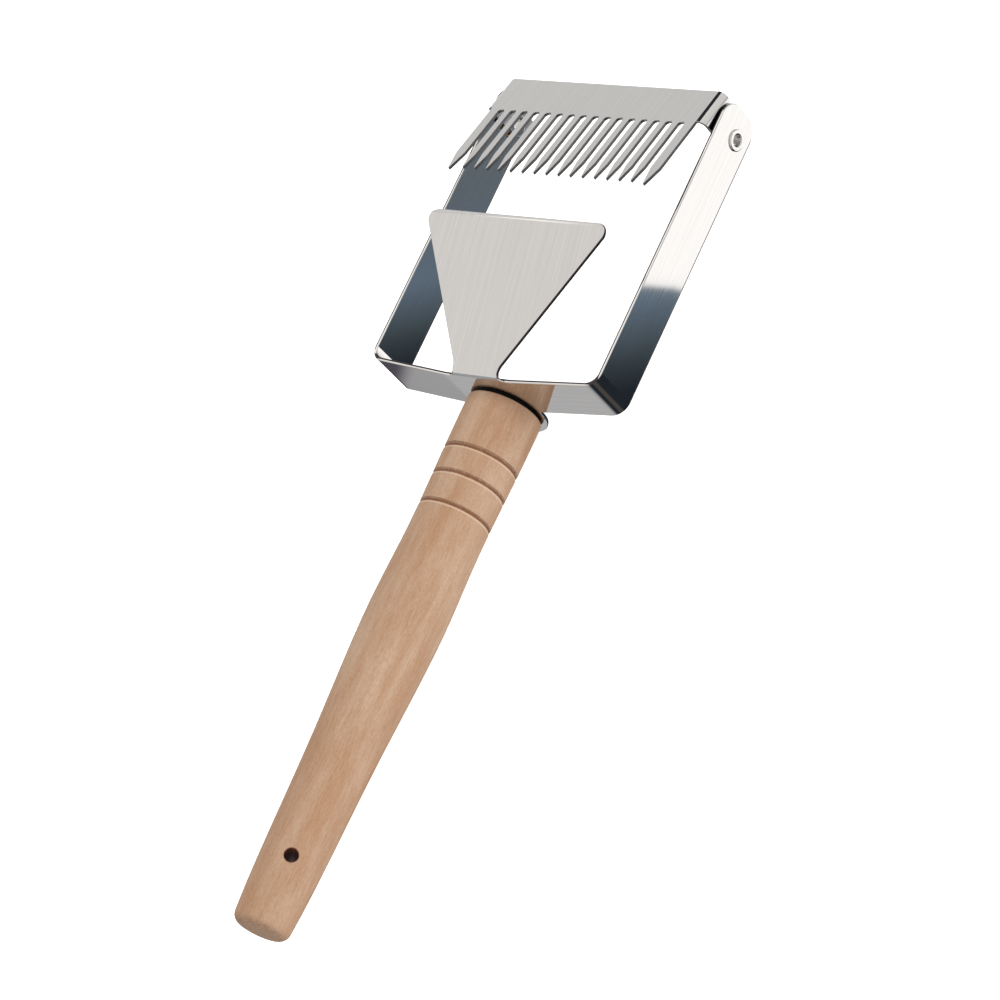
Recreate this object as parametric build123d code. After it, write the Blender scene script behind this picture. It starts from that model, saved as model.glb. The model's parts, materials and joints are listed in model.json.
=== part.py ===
from build123d import *
import math
import os

# Uncapping knife for a beekeeper: a wooden handle, a bent steel frame with a scraper blade,
# and a comb that swings on two tubular rivets.  Millimetres.
# +Y runs from the handle to the comb, +Z is the side that the scraper rises to, +X is to the right.
# The origin is the centre of the hanging hole, on the handle's axis.

# ---- driving dimensions ----

# handle
HANDLE_LENGTH = 198.0
HOLE_FROM_END = 25.0
HOLE_R = 2.45
HOLE_ANGLE = 52.0            # the hole's axis, turned from +X towards +Z
HANDLE_END_ROUND = 3.5
HANDLE_TOP_ROUND = 0.5
# distance from the top of the handle, and the handle's radius there
HANDLE_PROFILE = [(0, 13.5), (24, 13.35), (50, 12.95), (80, 13.68), (105, 13.05),
                  (130, 11.98), (160, 11.25), (183, 10.6), (198, 9.7)]
GROOVE_STATIONS = [20.9, 31.0, 42.3]
GROOVE_DEPTH = 0.55
GROOVE_HALF_WIDTH = 0.85

# frame: one strip of sheet, bent to a U, with the scraper and the round pad in one piece with it
SHEET = 1.3
FRAME_WIDTH = 100.8
STRIP_HEIGHT = 19.4
STRIP_LOW_Z = 0.0
ARM_LENGTH = 115.8           # from the outer face at the corners to the arms' ends
ARM_END_ROUND = 7.0
CORNER_R = 5.0               # at the middle of the sheet
BASE_BOW = 2.646             # how far the middle of the base is pulled towards the handle
BOW_HALF = 14.0              # where the base turns from its flat middle towards the corners
BOW_R = 45.0                 # soft bends there
PAD_R = 15.5

# scraper
SCRAPER_SLOPE = 14.3         # degrees above the XY plane
SCRAPER_REACH = 52.5         # from the corners' outer face to the front edge
SCRAPER_EDGE_Z = 35.7        # upper surface at the front edge
SCRAPER_FRONT_HALF = 41.75
SCRAPER_TAPER = 30.75        # degrees that each side leans in
SCRAPER_CORNER_R = 3.4
NECK_HALF = 10.0
NECK_FILLET = 2.1
SHOULDER_R = 5.0             # where the neck widens into the triangle
BEND_R = 2.2                 # at the middle of the sheet
BEVEL_LENGTH = 1.5
BEVEL_DEPTH = 0.5

# pivot and rivets
PIVOT_REACH = 105.5          # from the corners' outer face
PIVOT_Z = 7.4
RIVET_R = 2.6
RIVET_BORE_R = 2.1
RIVET_HEAD_R = 3.8
RIVET_HEAD_HEIGHT = 0.6
RUNNING_CLEARANCE = 0.05
SIDE_PLAY = 0.2
RIVET_MOUTH_ROUND = 0.4
SPACER_R = 5.0

# comb
COMB_SHEET = 1.2
COMB_SLOPE = 15.2
COMB_FRONT_REACH = 116.65    # upper front edge, from the corners' outer face
COMB_FRONT_Z = 20.1
COMB_HALF = 48.4             # outer faces of the ears
COMB_BEND_R = 2.6            # at the middle of the sheet
COMB_DEPTH = 46.6            # front edge to the tips of the inner teeth
OUTER_TIP_DEPTH = 47.6
ROOT_DEPTH = 17.6            # centre of each slot's round end
EAR_DEPTH = 14.5             # how far back the ears' folds run
TAPER_DEPTH = 39.6
TEETH = 17
PITCH = 5.33
SLOT_HALF = 1.33
TIP_HALF = 0.2
OUTER_TIP_X = 43.2
EAR_REAR_REACH = 101.6
EAR_LOW_R = 7.2

# screw, its washer and the rubber washer
SCREW_R = 2.0
SCREW_LENGTH = 28.0
SCREW_HEAD_R = 4.0
SCREW_HEAD_HEIGHT = 2.4
SCREW_HEAD_ROUND = 1.8
SCREW_POINT = 1.9            # length of the tapered point
SCREW_POINT_TAPER = 1.5      # how much the point draws in
SCREW_CLEARANCE = 0.2        # radial, in the sheet and the washers
RECESS_SPAN = 4.6
RECESS_DEPTH = 1.5
RECESS_SLOT = 0.9
THREAD_PITCH = 1.8
THREAD_DEPTH = 0.5
THREAD_HALF_WIDTH = 0.7
THREAD_RINGS = 11
THREAD_START = 3.0           # from the screw's point
STEEL_WASHER_R = 6.0
STEEL_WASHER = 1.0
RUBBER_WASHER_R = 12.4
RUBBER_WASHER = 0.9

# cutting tools
PAST = 1.0                   # how far a tool runs past the face that it cuts
WIDE = 120.0                 # wider than the whole tool
DEEP = 45.0                  # deeper than the ears, taller than the scraper

# ---- places worked out from them ----

HANDLE_TOP_Y = HANDLE_LENGTH - HOLE_FROM_END
HANDLE_END_Y = -HOLE_FROM_END
PAD_FACE_Y = HANDLE_TOP_Y + RUBBER_WASHER
CORNER_Y = PAD_FACE_Y + BASE_BOW
STRIP_MID_Z = STRIP_LOW_Z + STRIP_HEIGHT / 2
STRIP_TOP_Z = STRIP_LOW_Z + STRIP_HEIGHT
PIVOT_Y = CORNER_Y + PIVOT_REACH
ARM_OUTER_X = FRAME_WIDTH / 2
ARM_INNER_X = ARM_OUTER_X - SHEET
EAR_INNER_X = COMB_HALF - COMB_SHEET
COMB_FLAT_HALF = COMB_HALF - COMB_BEND_R - COMB_SHEET / 2
SCREW_HOLE_R = SCREW_R + SCREW_CLEARANCE
SCREW_SEAT_Y = PAD_FACE_Y + SHEET


def rod_x(radius, low_x, high_x):
    """A cylinder along X on the pivot axis."""
    length = high_x - low_x
    place = Location((low_x, PIVOT_Y, PIVOT_Z), (0, 90, 0))
    return place * Cylinder(radius, length, align=(Align.CENTER, Align.CENTER, Align.MIN))


def rod_y(radius, low_y, high_y):
    """A cylinder along Y on the handle's axis."""
    length = high_y - low_y
    place = Location((0, low_y, 0), (-90, 0, 0))
    return place * Cylinder(radius, length, align=(Align.CENTER, Align.CENTER, Align.MIN))


def spin_y(outline):
    """Turn a face that lies in the XY plane about the handle's axis."""
    return revolve(outline, Axis.Y)


# ---- handle ----

def handle_outline():
    points = []
    for station, radius in HANDLE_PROFILE:
        points.append((radius, HANDLE_TOP_Y - station))
    side = Spline(*points)
    top = Line((0, HANDLE_TOP_Y), points[0])
    end = Line(points[-1], (0, HANDLE_END_Y))
    axis = Line((0, HANDLE_END_Y), (0, HANDLE_TOP_Y))
    return make_face([top, side, end, axis])


def handle_radius_near(station):
    """Straight-line reading of the profile, near enough to place a groove."""
    for (s0, r0), (s1, r1) in zip(HANDLE_PROFILE, HANDLE_PROFILE[1:]):
        if s0 <= station <= s1:
            return r0 + (r1 - r0) * (station - s0) / (s1 - s0)


def groove(station):
    """Round-bottomed groove, as a disc to cut from the handle's outline."""
    depth = GROOVE_DEPTH
    cutter_r = (GROOVE_HALF_WIDTH ** 2 + depth ** 2) / (2 * depth)
    centre = handle_radius_near(station) - depth + cutter_r
    return Pos(centre, HANDLE_TOP_Y - station) * Circle(cutter_r)


def make_handle():
    outline = handle_outline()
    for station in GROOVE_STATIONS:
        outline = outline - groove(station)
    handle = spin_y(outline)
    rims = handle.edges().filter_by(GeomType.CIRCLE).sort_by(Axis.Y)
    handle = fillet(rims[-1], HANDLE_TOP_ROUND)
    rims = handle.edges().filter_by(GeomType.CIRCLE).sort_by(Axis.Y)
    handle = fillet(rims[0], HANDLE_END_ROUND)
    hole = Rot(0, 90 - HOLE_ANGLE, 0) * Cylinder(HOLE_R, WIDE)
    pilot = rod_y(SCREW_R, HANDLE_TOP_Y - SCREW_LENGTH, HANDLE_TOP_Y)
    return handle - hole - pilot


# ---- frame ----

def strip_block(low_z, high_z):
    """The U-shaped strip, seen from above, raised between two heights."""
    mid_x = ARM_OUTER_X - SHEET / 2
    mid_y = CORNER_Y + SHEET / 2
    end_y = CORNER_Y + ARM_LENGTH
    flat_y = mid_y - BASE_BOW
    path = FilletPolyline(
        (-mid_x, end_y), (-mid_x, mid_y), (-BOW_HALF, flat_y),
        (BOW_HALF, flat_y), (mid_x, mid_y), (mid_x, end_y),
        radius=[CORNER_R, BOW_R, BOW_R, CORNER_R])
    return Pos(0, 0, low_z) * extrude(trace(path, SHEET), amount=high_z - low_z)


def bend_corner():
    """Where the middle of the upright sheet and the middle of the scraper would meet."""
    slope = math.radians(SCRAPER_SLOPE)
    y = PAD_FACE_Y + SHEET / 2
    run = CORNER_Y + SCRAPER_REACH - y
    mid_z = SCRAPER_EDGE_Z - SHEET / 2 / math.cos(slope)
    return y, mid_z - run * math.tan(slope)


def bent_sheet():
    """Wide sheet in the scraper's shape seen from the side."""
    corner_y, corner_z = bend_corner()
    slope = math.radians(SCRAPER_SLOPE)
    front_y = CORNER_Y + SCRAPER_REACH
    front_z = corner_z + (front_y - corner_y) * math.tan(slope)
    path = FilletPolyline(
        (corner_y, STRIP_TOP_Z - PAST), (corner_y, corner_z), (front_y, front_z), radius=BEND_R)
    side = trace(path, SHEET)
    return Plane.YZ * extrude(side, amount=WIDE / 2, both=True)


def neck_outline():
    """Front view of the neck with its two fillets, down into the strip."""
    low = STRIP_TOP_Z - PAST
    high = STRIP_TOP_Z + DEEP
    foot = NECK_HALF + NECK_FILLET
    right = [
        Line((0, low), (foot, low)),
        Line((foot, low), (foot, STRIP_TOP_Z)),
        RadiusArc((foot, STRIP_TOP_Z), (NECK_HALF, STRIP_TOP_Z + NECK_FILLET), NECK_FILLET),
        Line((NECK_HALF, STRIP_TOP_Z + NECK_FILLET), (NECK_HALF, high)),
        Line((NECK_HALF, high), (0, high)),
        Line((0, high), (0, low)),
    ]
    half = make_face(right)
    return half + mirror(half, Plane.YZ)


def scraper_outline():
    """Plan view of the triangle and the part of the neck that lies in its slope."""
    front = CORNER_Y + SCRAPER_REACH
    foot_y = PAD_FACE_Y + SHEET / 2
    lean = math.tan(math.radians(SCRAPER_TAPER)) / math.cos(math.radians(SCRAPER_SLOPE))
    shoulder_y = front - (SCRAPER_FRONT_HALF - NECK_HALF) / lean
    return make_face(FilletPolyline(
        (-NECK_HALF, foot_y), (NECK_HALF, foot_y), (NECK_HALF, shoulder_y),
        (SCRAPER_FRONT_HALF, front), (-SCRAPER_FRONT_HALF, front), (-NECK_HALF, shoulder_y),
        radius=[0, 0, SHOULDER_R, SCRAPER_CORNER_R, SCRAPER_CORNER_R, SHOULDER_R], close=True))


def bevel_cutter():
    """Wedge that sharpens the scraper's front edge from above."""
    edge_y = CORNER_Y + SCRAPER_REACH
    tilt = math.degrees(math.atan2(BEVEL_DEPTH, BEVEL_LENGTH))
    slope = math.radians(SCRAPER_SLOPE)
    back_y = edge_y - BEVEL_LENGTH * math.cos(slope)
    back_z = SCRAPER_EDGE_Z - BEVEL_LENGTH * math.sin(slope)
    block = Box(WIDE, 4 * BEVEL_LENGTH, 4 * BEVEL_LENGTH, align=(Align.CENTER, Align.MIN, Align.MIN))
    return Location((0, back_y, back_z), (SCRAPER_SLOPE - tilt, 0, 0)) * block


def scraper():
    sheet = bent_sheet()
    neck_depth = SHEET / 2 + PAST
    front_view = Pos(0, PAD_FACE_Y - PAST, 0) * (Plane.XZ * extrude(neck_outline(), amount=-neck_depth))
    plan_view = extrude(scraper_outline(), amount=WIDE)
    return (sheet & front_view) + (sheet & plan_view) - bevel_cutter()


def make_frame():
    strip = strip_block(STRIP_LOW_Z, STRIP_TOP_Z)
    tips = strip.edges().filter_by(Axis.X).filter_by(lambda e: e.center().Y > PIVOT_Y)
    strip = fillet(tips, ARM_END_ROUND)
    pad = strip_block(-PAD_R, STRIP_MID_Z) & rod_y(PAD_R, PAD_FACE_Y - PAST, CORNER_Y + CORNER_R)
    frame = strip + pad + scraper()
    frame = frame - rod_x(RIVET_R, -ARM_OUTER_X - PAST, ARM_OUTER_X + PAST)
    return frame - rod_y(SCREW_HOLE_R, PAD_FACE_Y - PAST, SCREW_SEAT_Y + PAST)


# ---- comb ----

def comb_place():
    """Local frame of the comb: x across, y from the front edge back to the tips, z up from the sheet."""
    slope = math.radians(COMB_SLOPE)
    back = (0, -math.cos(slope), math.sin(slope))
    up = (0, math.sin(slope), math.cos(slope))
    across = Vector(*back).cross(Vector(*up))
    return Plane(origin=(0, CORNER_Y + COMB_FRONT_REACH, COMB_FRONT_Z), x_dir=across, z_dir=up)


def slot_x(index):
    """Middle of one slot between two teeth."""
    return (index - (TEETH - 2) / 2) * PITCH


def comb_outline():
    """The plate with all its teeth, flat, in the comb's local frame."""
    side = COMB_HALF
    straight = COMB_FLAT_HALF
    points = [(-side, 0), (-side, EAR_DEPTH), (-straight, EAR_DEPTH)]
    points += [(-straight, TAPER_DEPTH), (-OUTER_TIP_X - TIP_HALF, OUTER_TIP_DEPTH)]
    points += [(-OUTER_TIP_X + TIP_HALF, OUTER_TIP_DEPTH)]
    for index in range(TEETH - 1):
        x = slot_x(index)
        points += [(x - SLOT_HALF, TAPER_DEPTH), (x - SLOT_HALF, ROOT_DEPTH)]
        points += [(x + SLOT_HALF, ROOT_DEPTH), (x + SLOT_HALF, TAPER_DEPTH)]
        if index < TEETH - 2:
            tip = x + PITCH / 2
            points += [(tip - TIP_HALF, COMB_DEPTH), (tip + TIP_HALF, COMB_DEPTH)]
    points += [(OUTER_TIP_X - TIP_HALF, OUTER_TIP_DEPTH), (OUTER_TIP_X + TIP_HALF, OUTER_TIP_DEPTH)]
    points += [(straight, TAPER_DEPTH), (straight, EAR_DEPTH), (side, EAR_DEPTH), (side, 0)]
    plate = make_face(Polyline(*points, close=True))
    for index in range(TEETH - 1):
        plate = plate - Pos(slot_x(index), ROOT_DEPTH) * Circle(SLOT_HALF)
    return plate


def channel():
    """The folded sheet: a flat web with a flange down each side."""
    mid_x = COMB_HALF - COMB_SHEET / 2
    mid_z = -COMB_SHEET / 2
    path = FilletPolyline(
        (-mid_x, -DEEP), (-mid_x, mid_z), (mid_x, mid_z), (mid_x, -DEEP), radius=COMB_BEND_R)
    section = Plane.XZ * trace(path, COMB_SHEET)
    return extrude(section, amount=OUTER_TIP_DEPTH + PAST, dir=(0, 1, 0))


def ear_block():
    """Side view of the ears, as a block across the whole comb."""
    middle = CORNER_Y + EAR_REAR_REACH + EAR_LOW_R
    tall = Rectangle(2 * EAR_LOW_R, DEEP, align=(Align.CENTER, Align.MIN))
    ears = Pos(middle, PIVOT_Z) * (tall + Circle(EAR_LOW_R))
    slab = Plane.YZ * extrude(ears, amount=COMB_HALF + PAST, both=True)
    middle_gap = Pos(0, middle, PIVOT_Z) * Box(2 * COMB_FLAT_HALF, WIDE, WIDE)
    return slab - middle_gap


def make_comb():
    place = comb_place()
    sheet = place.location * channel()
    depth = COMB_BEND_R + COMB_SHEET
    flat = place.location * (Pos(0, 0, -depth) * extrude(comb_outline(), amount=depth + PAST))
    comb = (sheet & flat) + (sheet & ear_block())
    return comb - rod_x(RIVET_R + RUNNING_CLEARANCE, -COMB_HALF - PAST, COMB_HALF + PAST)


# ---- rivets, spacers, screw and washers ----

def rivet_head(face_x, outward):
    """Rolled lip of a tubular rivet, standing on a face."""
    lip_r = RIVET_HEAD_HEIGHT / 2
    low, high = sorted([face_x, face_x + outward * RIVET_HEAD_HEIGHT])
    disc = rod_x(RIVET_HEAD_R, low, high)
    rim = disc.edges().filter_by(GeomType.CIRCLE).sort_by(Axis.X)
    rim = rim[-1] if outward > 0 else rim[0]
    return fillet(rim, lip_r)


def make_rivet(side):
    """Tubular rivet through one arm, its spacer and one ear."""
    outer = side * ARM_OUTER_X
    inner = side * (EAR_INNER_X - SIDE_PLAY)
    low, high = sorted([outer, inner])
    body = rod_x(RIVET_R, low, high) + rivet_head(outer, side) + rivet_head(inner, -side)
    reach = RIVET_HEAD_HEIGHT + PAST
    bored = body - rod_x(RIVET_BORE_R, low - reach, high + reach)
    mouths = bored.edges().filter_by(GeomType.CIRCLE).filter_by(
        lambda e: abs(e.radius - RIVET_BORE_R) < RUNNING_CLEARANCE)
    return fillet(mouths, RIVET_MOUTH_ROUND)


def make_spacer(side):
    """Brass washer between an arm and an ear."""
    low, high = sorted([side * ARM_INNER_X, side * (COMB_HALF + SIDE_PLAY)])
    return rod_x(SPACER_R, low, high) - rod_x(RIVET_R, low - PAST, high + PAST)


def make_rubber_washer():
    """Black washer that fills the gap between the wood and the bowed base."""
    ring = rod_y(RUBBER_WASHER_R, HANDLE_TOP_Y, CORNER_Y + SHEET)
    ring = ring - rod_y(SCREW_HOLE_R, HANDLE_TOP_Y - PAST, CORNER_Y + SHEET + PAST)
    ring = ring - strip_block(-PAD_R - PAST, STRIP_TOP_Z)
    return ring.solids().sort_by(Axis.Y)[0]


def make_steel_washer():
    low = SCREW_SEAT_Y
    high = low + STEEL_WASHER
    return rod_y(STEEL_WASHER_R, low, high) - rod_y(SCREW_HOLE_R, low - PAST, high + PAST)


def cross_recess(face_y):
    """Cross-shaped driver recess in the screw's head."""
    blade = Box(RECESS_SPAN, 2 * RECESS_DEPTH, RECESS_SLOT)
    cross = blade + Rot(0, 90, 0) * blade
    return Pos(0, face_y, 0) * cross


def thread_valley(y):
    """Triangle to spin into one valley of the thread."""
    rim = SCREW_R + SCREW_CLEARANCE / 2
    root = SCREW_R - THREAD_DEPTH
    low = y - THREAD_HALF_WIDTH
    high = y + THREAD_HALF_WIDTH
    return make_face(Polyline((rim, low), (root, y), (rim, high), close=True))


def make_screw():
    """Pan-head wood screw, its thread shown as plain rings."""
    seat = SCREW_SEAT_Y + STEEL_WASHER
    end = HANDLE_TOP_Y - SCREW_LENGTH
    shank = rod_y(SCREW_R, end, seat)
    point = shank.edges().filter_by(GeomType.CIRCLE).sort_by(Axis.Y)[0]
    shank = chamfer(point, SCREW_POINT, SCREW_POINT_TAPER)
    for index in range(THREAD_RINGS):
        y = end + THREAD_START + index * THREAD_PITCH
        shank = shank - spin_y(thread_valley(y))
    head = rod_y(SCREW_HEAD_R, seat, seat + SCREW_HEAD_HEIGHT)
    rim = head.edges().filter_by(GeomType.CIRCLE).sort_by(Axis.Y)[-1]
    head = fillet(rim, SCREW_HEAD_ROUND)
    return shank + head - cross_recess(seat + SCREW_HEAD_HEIGHT)


# ---- write the parts ----

def main():
    parts = {
        "frame_strip": make_frame(),
        "comb": make_comb(),
        "right_rivet": make_rivet(1),
        "left_rivet": make_rivet(-1),
        "right_spacer": make_spacer(1),
        "left_spacer": make_spacer(-1),
        "handle": make_handle(),
        "handle_washer": make_rubber_washer(),
        "screw_washer": make_steel_washer(),
        "handle_screw": make_screw(),
    }
    os.makedirs("parts", exist_ok=True)
    for name, shape in parts.items():
        export_step(shape.solid(), f"parts/{name}.step")
        print(name, round(shape.volume, 1), shape.bounding_box())


main()
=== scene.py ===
"""Looks for the uncapping comb and scraper: steel frame, toothed comb, turned beech handle."""
import json
import math

import bpy
from mathutils import Matrix, Vector


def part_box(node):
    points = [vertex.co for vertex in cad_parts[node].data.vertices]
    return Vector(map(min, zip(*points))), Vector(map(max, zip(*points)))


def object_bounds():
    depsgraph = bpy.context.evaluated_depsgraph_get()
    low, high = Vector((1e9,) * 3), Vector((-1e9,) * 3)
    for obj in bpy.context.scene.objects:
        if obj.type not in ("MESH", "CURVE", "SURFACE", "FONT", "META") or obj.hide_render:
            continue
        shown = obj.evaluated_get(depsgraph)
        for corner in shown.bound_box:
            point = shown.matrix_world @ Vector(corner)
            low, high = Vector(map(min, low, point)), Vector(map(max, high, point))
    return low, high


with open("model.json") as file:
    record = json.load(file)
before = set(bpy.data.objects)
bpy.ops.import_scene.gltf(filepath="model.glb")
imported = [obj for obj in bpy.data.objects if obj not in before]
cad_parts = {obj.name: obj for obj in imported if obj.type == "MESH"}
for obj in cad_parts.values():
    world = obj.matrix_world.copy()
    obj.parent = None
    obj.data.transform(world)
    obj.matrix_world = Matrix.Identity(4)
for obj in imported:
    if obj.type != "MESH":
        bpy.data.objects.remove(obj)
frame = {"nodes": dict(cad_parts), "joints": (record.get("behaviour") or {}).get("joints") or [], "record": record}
NODES = frame["nodes"]
CAD_LOW, CAD_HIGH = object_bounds()
MM = 0.001

# ---- places read from the frame ----

STRIP_LOW, STRIP_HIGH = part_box("frame_strip")
HANDLE_TOP_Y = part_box("handle")[1].y
COMB_SIDE_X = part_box("comb")[1].x
PIVOT = Vector(frame["joints"][0]["pos_m"])
HOLE = frame["record"]["mounts"][0]

# ---- camera ----

LENS = 144.0                  # for a 36 mm sensor
CAMERA_DISTANCE = 1.3357
CAMERA_AZIMUTH = 63.489       # from -Y towards +X
CAMERA_ELEVATION = 44.055
CAMERA_ROLL = -45.719
AIM = Vector((15.46, 139.79, 0.0)) * MM


def direction(azimuth, elevation):
    """Unit vector from the object towards a viewer at that azimuth and elevation, in degrees."""
    a, e = math.radians(azimuth), math.radians(elevation)
    return Vector((math.sin(a) * math.cos(e), -math.cos(a) * math.cos(e), math.sin(e)))


def make_camera():
    data = bpy.data.cameras.new("camera")
    data.sensor_width = 36.0
    data.lens = LENS
    data.clip_start = 0.1
    data.clip_end = 20.0
    camera = bpy.data.objects.new("camera", data)
    bpy.context.scene.collection.objects.link(camera)
    back = direction(CAMERA_AZIMUTH, CAMERA_ELEVATION)
    camera.location = AIM + CAMERA_DISTANCE * back
    level = (-back).to_track_quat("-Z", "Y")
    roll = Matrix.Rotation(math.radians(CAMERA_ROLL), 3, "Z").to_quaternion()
    camera.rotation_mode = "QUATERNION"
    camera.rotation_quaternion = level @ roll
    bpy.context.scene.camera = camera


# ---- node helpers ----

def add(tree, kind, inputs=None, **settings):
    """One shader node: its settings, and its inputs given as values or as sockets to link."""
    node = tree.nodes.new(kind)
    for key, value in settings.items():
        setattr(node, key, value)
    for key, value in (inputs or {}).items():
        if isinstance(value, bpy.types.NodeSocket):
            tree.links.new(value, node.inputs[key])
        else:
            node.inputs[key].default_value = value
    return node


def calc(tree, operation, a, b=0.0, clamp=False):
    return add(tree, "ShaderNodeMath", {0: a, 1: b}, operation=operation, use_clamp=clamp).outputs[0]


def both(tree, *masks):
    """Where all the masks are 1."""
    result = masks[0]
    for mask in masks[1:]:
        result = calc(tree, "MULTIPLY", result, mask)
    return result


def away(tree, value, place):
    """Distance of a coordinate from a place."""
    return calc(tree, "ABSOLUTE", calc(tree, "SUBTRACT", value, place))


def ramp(tree, value, low, high, out_low=0.0, out_high=1.0, smooth=True):
    """value from low to high becomes out_low to out_high."""
    kind = "SMOOTHSTEP" if smooth else "LINEAR"
    inputs = {"Value": value, "From Min": low, "From Max": high, "To Min": out_low, "To Max": out_high}
    return add(tree, "ShaderNodeMapRange", inputs, interpolation_type=kind).outputs["Result"]


def mix(tree, factor, a, b, blend="MIX"):
    node = add(tree, "ShaderNodeMix", {"Factor": factor}, data_type="RGBA", blend_type=blend)
    for index, value in ((6, a), (7, b)):
        if isinstance(value, bpy.types.NodeSocket):
            tree.links.new(value, node.inputs[index])
        else:
            node.inputs[index].default_value = value
    return node.outputs[2]


def blend(tree, factor, a, b):
    inputs = {0: factor, 2: a, 3: b}
    return add(tree, "ShaderNodeMix", inputs, data_type="FLOAT").outputs[0]


def noise(tree, vector, scale, detail=2.0, rough=0.5):
    inputs = {"Vector": vector, "Scale": scale, "Detail": detail, "Roughness": rough}
    return add(tree, "ShaderNodeTexNoise", inputs).outputs["Fac"]


def stretch(tree, vector, scale):
    return add(tree, "ShaderNodeVectorMath", {0: vector, 1: scale}, operation="MULTIPLY").outputs[0]


def xyz(tree, vector):
    return add(tree, "ShaderNodeSeparateXYZ", {0: vector}).outputs


def dot(tree, vector, with_vector):
    node = add(tree, "ShaderNodeVectorMath", {0: vector, 1: with_vector}, operation="DOT_PRODUCT")
    return node.outputs["Value"]


def rgb(red, green, blue):
    """Linear colour from the 0 to 255 values of a colour picker."""
    def linear(c):
        c = c / 255
        return c / 12.92 if c <= 0.04045 else ((c + 0.055) / 1.055) ** 2.4
    return (linear(red), linear(green), linear(blue), 1.0)


def new_material(name):
    material = bpy.data.materials.new(name)
    material.use_nodes = True
    tree = material.node_tree
    tree.nodes.clear()
    shader = add(tree, "ShaderNodeBsdfPrincipled")
    output = add(tree, "ShaderNodeOutputMaterial")
    tree.links.new(shader.outputs[0], output.inputs["Surface"])
    place = add(tree, "ShaderNodeTexCoord").outputs
    return material, tree, shader, place


# ---- studio ----

def soft_zone(tree, view, centre, inner, outer):
    """1 within inner degrees of a direction, falling to 0 at outer degrees."""
    aligned = dot(tree, view, Vector(centre).normalized())
    return ramp(tree, aligned, math.cos(math.radians(outer)), math.cos(math.radians(inner)))


def table_colour(tree, ahead):
    """The dark table, from near black beside the tool to slate blue further off."""
    low, high = 0.45, 0.70
    node = add(tree, "ShaderNodeValToRGB", {"Fac": ramp(tree, ahead, low, high, smooth=False)})
    stops = [(0.450, (0.022, 0.030, 0.040)), (0.509, (0.022, 0.030, 0.040)), (0.522, (0.056, 0.074, 0.086)),
             (0.537, (0.116, 0.156, 0.196)), (0.549, (0.167, 0.230, 0.305)), (0.589, (0.167, 0.204, 0.240)),
             (0.700, (0.19, 0.23, 0.26))]
    while len(node.color_ramp.elements) < len(stops):
        node.color_ramp.elements.new(0.5)
    for element, (place, colour) in zip(node.color_ramp.elements, stops):
        element.position = (place - low) / (high - low)
        element.color = (*colour, 1.0)
    return node.outputs["Color"]


def make_world():
    """White studio above, and below it a dark table with a white card that ends in a straight edge."""
    world = bpy.data.worlds.new("studio")
    bpy.context.scene.world = world
    world.use_nodes = True
    tree = world.node_tree
    tree.nodes.clear()
    view = add(tree, "ShaderNodeTexCoord").outputs["Generated"]
    x, y, z = xyz(tree, view)
    down = calc(tree, "MAXIMUM", calc(tree, "MULTIPLY", z, -1.0), 0.02)
    ahead = calc(tree, "DIVIDE", y, down)
    aside = calc(tree, "DIVIDE", x, down)

    # the table, a little violet to the left, with a brown streak and a pale patch behind
    low = table_colour(tree, ahead)
    low = mix(tree, ramp(tree, x, -0.62, -0.35, 1.0, 0.0), low, (0.10, 0.09, 0.115, 1.0))
    low = mix(tree, soft_zone(tree, view, (0.42, -0.58, -0.70), 2, 14), low, (0.10, 0.09, 0.08, 1.0))
    patch = soft_zone(tree, view, (-0.52, -0.56, -0.65), 8, 34)
    near = calc(tree, "MULTIPLY", ramp(tree, y, -0.62, -0.48, 1.0, 0.0), ramp(tree, z, -0.66, -0.50))
    patch = calc(tree, "MAXIMUM", patch, near)
    patch = calc(tree, "MULTIPLY", patch, ramp(tree, x, -0.7098, -0.7055))
    low = mix(tree, patch, low, (0.62, 0.62, 0.625, 1.0))

    # slate grey nearer to the horizon, so that the arms aren't black in views from low down
    low = mix(tree, ramp(tree, z, -0.64, -0.52, 0.0, 0.75), low, (0.42, 0.44, 0.46, 1.0))

    # the white card: ahead of one edge, left of a slanting one, and fading far ahead
    slanted = calc(tree, "ADD", ahead, calc(tree, "MULTIPLY", calc(tree, "SUBTRACT", 0.905, aside), 0.135))
    card_edge = ramp(tree, slanted, 0.5545, 0.5565)
    opening = calc(tree, "MULTIPLY", calc(tree, "MAXIMUM", calc(tree, "SUBTRACT", ahead, 0.62), 0.0), 2.2)
    card_side = ramp(tree, calc(tree, "SUBTRACT", aside, opening), 0.925, 0.965, 1.0, 0.0)
    card = both(tree, card_edge, card_side, ramp(tree, ahead, 0.95, 1.5, 1.0, 0.3))
    low = mix(tree, card, low, (1.585, 1.567, 1.545, 1.0))

    # upper half: white, two brighter lights, greyer straight ahead, with a dark gap between them
    high = mix(tree, soft_zone(tree, view, (-0.05, 0.32, 0.94), 24, 36), (1.01, 0.985, 0.955, 1.0),
               (1.5, 1.45, 1.38, 1.0))
    high = mix(tree, soft_zone(tree, view, (-0.648, 0.35, 0.68), 5, 14), high,
               (1.6, 1.55, 1.48, 1.0))
    high = mix(tree, soft_zone(tree, view, (-0.62, 0.65, 0.43), 7, 26), high, (0.855, 0.855, 0.845, 1.0))
    gap = both(tree, ramp(tree, x, -0.60, -0.55), ramp(tree, x, -0.02, 0.08, 1.0, 0.0),
               ramp(tree, y, 0.58, 0.64))
    high = mix(tree, gap, high, (0.03, 0.033, 0.04, 1.0))
    colour = mix(tree, ramp(tree, z, -0.06, 0.02), low, high)
    background = add(tree, "ShaderNodeBackground", {"Color": colour, "Strength": 1.0})
    output = add(tree, "ShaderNodeOutputWorld")
    tree.links.new(background.outputs[0], output.inputs["Surface"])


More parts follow.
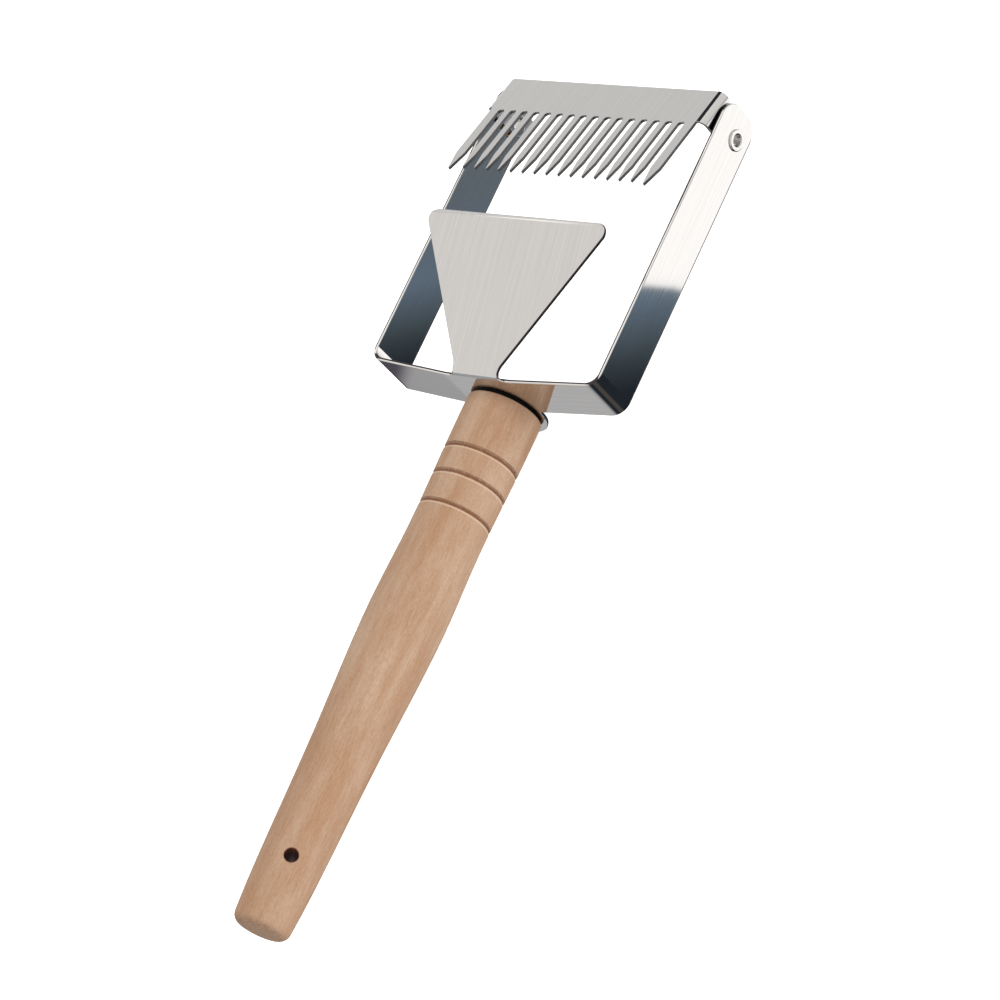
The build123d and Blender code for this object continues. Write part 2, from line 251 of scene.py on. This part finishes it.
def make_floor():
    """Pale floor under the tool. Steel doesn't mirror it, so the studio shows in the steel instead."""
    size = 3.0
    mesh = bpy.data.meshes.new("floor")
    corners = [(-size, -size, 0), (size, -size, 0), (size, size, 0), (-size, size, 0)]
    mesh.from_pydata(corners, [], [(0, 1, 2, 3)])
    floor = bpy.data.objects.new("floor", mesh)
    floor.location = (0, 0, CAD_LOW.z - 0.2 * MM)
    bpy.context.scene.collection.objects.link(floor)
    material, tree, shader, place = new_material("floor_white")
    shader.inputs["Base Color"].default_value = (0.8, 0.8, 0.8, 1.0)
    shader.inputs["Roughness"].default_value = 0.9
    shader.inputs["Emission Color"].default_value = (1.0, 1.0, 1.0, 1.0)
    shader.inputs["Emission Strength"].default_value = 0.75
    mesh.materials.append(material)
    floor.visible_glossy = False


def make_light(name, azimuth, elevation, size, power):
    data = bpy.data.lights.new(name, "AREA")
    data.shape = "DISK"
    data.size = size
    data.energy = power
    light = bpy.data.objects.new(name, data)
    back = direction(azimuth, elevation)
    middle = (CAD_LOW + CAD_HIGH) / 2
    light.location = middle + 1.5 * back
    light.rotation_mode = "QUATERNION"
    light.rotation_quaternion = (-back).to_track_quat("-Z", "Y")
    light.visible_glossy = False
    bpy.context.scene.collection.objects.link(light)


# ---- materials ----

SHEET = 1.3 * MM              # thickness of the frame's sheet
STRIP_TOP = 19.4 * MM         # upper edge of the strip
BASE_FACE_Y = STRIP_LOW.y     # outer face of the base's flat middle
BASE_FLAT = 14.0 * MM         # half the width of that flat middle
BASE_SLANT = 0.0740           # how far the base slants to each side of it, for each unit sideways
EAR_BACK_Y = PIVOT.y - 4.4 * MM   # just behind the comb's ears
PLATE_UP = Vector((0.0, 0.2622, 0.9650))    # square to the comb's plate
STEEL = (0.63, 0.62, 0.61, 1.0)
# painted shade: a near-black steel colour for the shaded band along the frame's sheet edges
EDGE_SHADE_STEEL = (0.055, 0.045, 0.050, 1.0)
# painted shade: a dark steel colour for the comb's tooth sides and ear backs
TOOTH_SIDE_SHADE = (0.20, 0.19, 0.19, 1.0)
EDGE_SHADE_WIDTH = 0.75 * MM              # how wide the painted shade band along a cut edge is
BLADE_OUT = 0.28              # sideways part of a normal that only the blade's cut sides have


def finish_steel(tree, shader, lines, rough_low, rough_high, shaded_edges, edge_shade_colour, height):
    """Brushed steel: lines is the brushing; the edge mask marks sheet edges given painted shade, a dark colour,
    and a rougher finish; height is the lines' depth.
    """
    tint = mix(tree, ramp(tree, lines, 0.3, 0.7), [0.94 * c for c in STEEL[:3]] + [1.0], STEEL)
    tree.links.new(mix(tree, shaded_edges, tint, edge_shade_colour), shader.inputs["Base Color"])
    rough = ramp(tree, lines, 0.3, 0.7, rough_low, rough_high)
    tree.links.new(blend(tree, shaded_edges, rough, 0.45), shader.inputs["Roughness"])
    bump = add(tree, "ShaderNodeBump", {"Height": lines, "Strength": height, "Distance": 0.02 * MM})
    tree.links.new(bump.outputs[0], shader.inputs["Normal"])
    shader.inputs["Metallic"].default_value = 1.0


def frame_material():
    material, tree, shader, place = new_material("frame_steel")
    where = place["Object"]
    x, y, z = xyz(tree, where)
    outward, _, upright = xyz(tree, place["Normal"])
    strip_lines = noise(tree, stretch(tree, where, (30.0, 30.0, 2600.0)), 1.0, 3.0)
    blade_lines = noise(tree, stretch(tree, where, (2200.0, 25.0, 25.0)), 1.0, 3.0)
    on_blade = ramp(tree, z, STRIP_TOP, STRIP_TOP + 4 * MM)
    lines = blend(tree, on_blade, strip_lines, blade_lines)
    # the strip's upper edge: painted shade, a dark line along the left of each arm and the inside of the base
    from_middle = away(tree, x, 0.0)
    side = calc(tree, "MINIMUM", away(tree, x, STRIP_HIGH.x - SHEET), away(tree, x, STRIP_LOW.x))
    on_arm = ramp(tree, side, 0.9 * EDGE_SHADE_WIDTH, 1.1 * EDGE_SHADE_WIDTH, 1.0, 0.0)
    past_flat = calc(tree, "MAXIMUM", calc(tree, "SUBTRACT", from_middle, BASE_FLAT), 0.0)
    slant = calc(tree, "MULTIPLY", past_flat, BASE_SLANT)
    depth = calc(tree, "SUBTRACT", calc(tree, "SUBTRACT", y, BASE_FACE_Y), slant)
    on_base = both(tree, ramp(tree, depth, SHEET - 1.1 * EDGE_SHADE_WIDTH, SHEET - 0.9 * EDGE_SHADE_WIDTH),
                   ramp(tree, depth, 1.5 * SHEET, 2 * SHEET, 1.0, 0.0))
    top = both(tree, calc(tree, "MAXIMUM", on_arm, on_base), ramp(tree, upright, 0.05, 0.2),
               ramp(tree, z, STRIP_TOP - SHEET, STRIP_TOP - SHEET / 2),
               ramp(tree, on_blade, 0.0, 0.2, 1.0, 0.0))
    # the same painted shade along the arms' lower edges and on the blade's cut sides
    foot = both(tree, ramp(tree, z, 0.55 * MM, 0.75 * MM, 1.0, 0.0),
                ramp(tree, y, BASE_FACE_Y + 7 * MM, BASE_FACE_Y + 9 * MM))
    blade_sides = both(tree, ramp(tree, z, STRIP_TOP + 0.6 * MM, STRIP_TOP + 1.8 * MM),
                       ramp(tree, away(tree, outward, 0.0), BLADE_OUT, 2 * BLADE_OUT))
    shaded_edges = calc(tree, "MAXIMUM", calc(tree, "MAXIMUM", top, foot), blade_sides)
    finish_steel(tree, shader, lines, 0.024, blend(tree, on_blade, 0.029, 0.16), shaded_edges, EDGE_SHADE_STEEL,
                 blend(tree, on_blade, 0.0003, 0.005))
    return material


def comb_material():
    material, tree, shader, place = new_material("comb_steel")
    where = place["Object"]
    x, y, _ = xyz(tree, where)
    along = xyz(tree, place["Normal"])[1]
    facing = away(tree, dot(tree, place["Normal"], PLATE_UP), 0.0)
    lines = noise(tree, stretch(tree, where, (2200.0, 30.0, 30.0)), 1.0, 3.0)
    # painted shade: a darker colour, with a rougher finish, on the teeth's cut sides and the ears' back edges
    tooth_sides = both(tree, ramp(tree, facing, 0.75, 0.92, 1.0, 0.0),
                       ramp(tree, y, EAR_BACK_Y - 0.5 * MM, EAR_BACK_Y - 0.2 * MM, 1.0, 0.0))
    ear_backs = both(tree, ramp(tree, along, -0.9, -0.7, 1.0, 0.0),
                     ramp(tree, away(tree, x, 0.0), COMB_SIDE_X - 3.6 * MM, COMB_SIDE_X - 3.2 * MM))
    shaded_edges = calc(tree, "MAXIMUM", tooth_sides, ear_backs)
    finish_steel(tree, shader, lines, 0.07, 0.11, shaded_edges, TOOTH_SIDE_SHADE, 0.012)
    return material


def plain_material(name, colour, rough, metal=0.0, gloss=0.5):
    """A finish with only a fine grain in its colour and roughness."""
    material, tree, shader, place = new_material(name)
    grain = noise(tree, place["Object"], 900.0, 3.0)
    tint = mix(tree, ramp(tree, grain, 0.35, 0.65), [0.88 * c for c in colour[:3]] + [1.0], colour)
    tree.links.new(tint, shader.inputs["Base Color"])
    tree.links.new(ramp(tree, grain, 0.3, 0.7, 0.8 * rough, 1.2 * rough), shader.inputs["Roughness"])
    shader.inputs["Metallic"].default_value = metal
    shader.inputs["Specular IOR Level"].default_value = gloss
    return material


GROOVES = (20.9 * MM, 31.0 * MM, 42.3 * MM)    # from the top of the handle
HIGHLIGHT_LIP = 1.05 * MM                                # from a groove to its pale lip, a painted highlight


def wood_material():
    """Sanded beech: fine fibres, short dark flecks, slow bands, grooves with painted shade and a painted highlight
    on their lip, painted shade in the hanging hole, and end grain.
    """
    material, tree, shader, place = new_material("beech")
    where = place["Object"]
    y = xyz(tree, where)[1]
    end_face = ramp(tree, xyz(tree, place["Normal"])[1], -0.98, -0.35, 1.0, 0.0)

    # wavering bands and blotches, lengthwise fibres, fine grit and short flecks
    blotches = noise(tree, stretch(tree, where, (95.0, 22.0, 95.0)), 1.0, 3.0, 0.6)
    bands = noise(tree, stretch(tree, where, (260.0, 9.0, 260.0)), 1.0, 3.0, 0.55)
    fibres = noise(tree, stretch(tree, where, (2400.0, 150.0, 2400.0)), 1.0, 4.0, 0.7)
    grit = noise(tree, stretch(tree, where, (1700.0, 900.0, 1700.0)), 1.0, 3.0, 0.7)
    flecks = noise(tree, stretch(tree, where, (1500.0, 330.0, 1500.0)), 1.0, 1.0)
    tone = calc(tree, "ADD", calc(tree, "MULTIPLY", blotches, 0.40), calc(tree, "MULTIPLY", bands, 0.25))
    tone = calc(tree, "ADD", tone, calc(tree, "MULTIPLY", fibres, 0.35))
    colour = mix(tree, ramp(tree, tone, 0.38, 0.62, smooth=False), rgb(146, 109, 80), rgb(166, 141, 119))
    colour = mix(tree, ramp(tree, blotches, 0.50, 0.72, 0.0, 0.35), colour, rgb(171, 146, 125))
    colour = mix(tree, ramp(tree, flecks, 0.64, 0.72, 0.0, 0.28), colour, rgb(128, 91, 65))
    colour = mix(tree, ramp(tree, grit, 0.35, 0.65, 0.30, 0.0), colour, rgb(134, 99, 74))

    # grooves: painted shade as a dark ragged line, with a painted highlight as a pale lip on the side towards the
    # hanging hole
    near = away(tree, y, HANDLE_TOP_Y - GROOVES[0])
    to_highlight_lip = away(tree, y, HANDLE_TOP_Y - GROOVES[0] - HIGHLIGHT_LIP)
    for station in GROOVES[1:]:
        near = calc(tree, "MINIMUM", near, away(tree, y, HANDLE_TOP_Y - station))
        to_highlight_lip = calc(tree, "MINIMUM", to_highlight_lip, away(tree, y, HANDLE_TOP_Y - station - HIGHLIGHT_LIP))
    colour = mix(tree, ramp(tree, to_highlight_lip, 0.15 * MM, 0.45 * MM, 0.6, 0.0), colour, rgb(187, 163, 142))
    ragged = calc(tree, "ADD", near, calc(tree, "MULTIPLY", calc(tree, "SUBTRACT", grit, 0.5), 1.2 * MM))
    groove_shade = ramp(tree, ragged, 0.15 * MM, 0.85 * MM, 0.9, 0.0)
    colour = mix(tree, groove_shade, colour, rgb(100, 58, 34))

    # end grain, and painted shade on the wall of the hanging hole
    pores = noise(tree, where, 1800.0, 3.0)
    end_colour = mix(tree, ramp(tree, pores, 0.35, 0.6), rgb(110, 83, 63), rgb(139, 112, 89))
    colour = mix(tree, end_face, colour, end_colour)
    axis = Vector(HOLE["axis"])
    along = dot(tree, where, axis)
    span = add(tree, "ShaderNodeVectorMath", {0: where}, operation="LENGTH").outputs["Value"]
    off_axis = calc(tree, "SQRT", calc(tree, "SUBTRACT", calc(tree, "MULTIPLY", span, span),
                                       calc(tree, "MULTIPLY", along, along)))
    hole_r = HOLE["dims"]["r_mm"] * MM
    # painted shade: darker brown inside the hanging hole
    hole_shade = ramp(tree, off_axis, hole_r + 0.02 * MM, hole_r + 0.25 * MM, 1.0, 0.0)
    colour = mix(tree, hole_shade, colour, rgb(120, 79, 62))

    tree.links.new(colour, shader.inputs["Base Color"])
    tree.links.new(ramp(tree, fibres, 0.3, 0.7, 0.72, 0.55), shader.inputs["Roughness"])
    shader.inputs["Specular IOR Level"].default_value = 0.3
    bump = add(tree, "ShaderNodeBump", {"Height": fibres, "Strength": 0.25, "Distance": 0.05 * MM})
    tree.links.new(bump.outputs[0], shader.inputs["Normal"])
    return material


def paint(node, material):
    mesh = NODES[node].data
    mesh.materials.clear()
    mesh.materials.append(material)


def deburr(node, width):
    """Rounds the sharp edges of a sheet part, inside its own shape."""
    piece = NODES[node]
    weld = piece.modifiers.new("weld", "WELD")
    weld.merge_threshold = 0.001 * MM
    flats = piece.modifiers.new("whole_flats", "DECIMATE")
    flats.decimate_type = "DISSOLVE"
    flats.angle_limit = math.radians(0.3)
    bevel = piece.modifiers.new("deburred", "BEVEL")
    bevel.width = width
    bevel.segments = 3
    bevel.limit_method = "ANGLE"
    bevel.angle_limit = math.radians(40)
    bevel.use_clamp_overlap = False
    normals = piece.modifiers.new("flat_faces", "WEIGHTED_NORMAL")
    normals.weight = 100
    normals.keep_sharp = False


make_camera()
make_world()
make_floor()
make_light("key", 110, 50, 1.2, 13.0)

frame_steel = frame_material()
comb_steel = comb_material()
rivet_steel = plain_material("rivet_steel", (0.66, 0.65, 0.64, 1.0), 0.045, 1.0)
brass = plain_material("brass", rgb(214, 170, 96), 0.25, 1.0)
rubber = plain_material("rubber", (0.003, 0.003, 0.003, 1.0), 0.6, 0.0, 0.1)
wood = wood_material()

paint("frame_strip", frame_steel)
paint("comb", comb_steel)
for side in ("right", "left"):
    paint(f"{side}_rivet", rivet_steel)
    paint(f"{side}_spacer", brass)
paint("handle", wood)
paint("handle_washer", rubber)
paint("screw_washer", rivet_steel)
paint("handle_screw", rivet_steel)

deburr("frame_strip", 0.4 * MM)
deburr("comb", 0.12 * MM)

bpy.context.scene.view_settings.view_transform = "Standard"
